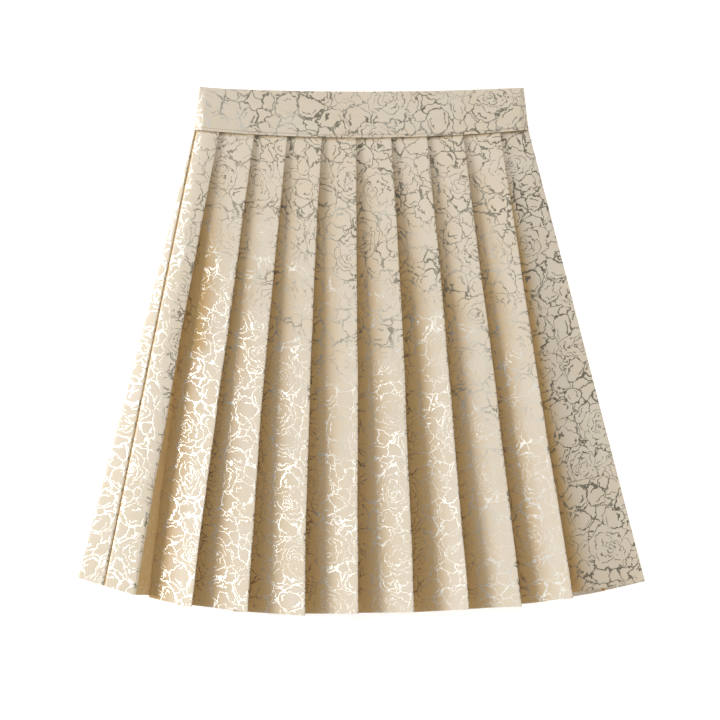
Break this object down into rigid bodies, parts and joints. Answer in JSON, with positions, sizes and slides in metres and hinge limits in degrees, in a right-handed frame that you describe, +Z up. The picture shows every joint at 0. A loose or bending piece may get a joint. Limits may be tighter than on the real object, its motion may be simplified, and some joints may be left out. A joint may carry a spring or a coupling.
{
  "type": "pleated skirt",
  "caption": "Knee-length knife-pleated skirt of champagne jacquard on a plain waistband, laid flat with its front up; dresses a figure's display, a shop table or a wardrobe scene.",
  "frame": {"origin": "middle of the underside, on the surface that the skirt lies on", "axes": "+X to the viewer's right, from the left side edge to the right one; +Y from the hem to the waist; +Z up, out of the front"},
  "size_m": [0.5748, 0.534, 0.0264],
  "materials": {
    "front_panel": "satin jacquard, champagne ground with silver figured lines",
    "back_panel": "satin jacquard, champagne ground with silver figured lines",
    "waistband_front": "satin jacquard, topstitched",
    "waistband_back": "satin jacquard, topstitched"
  },
  "bodies": {
    "root": {"front_panel": "front_panel", "back_panel": "back_panel", "waistband_front": "waistband_front", "waistband_back": "waistband_back"}
  },
  "joints": []
}
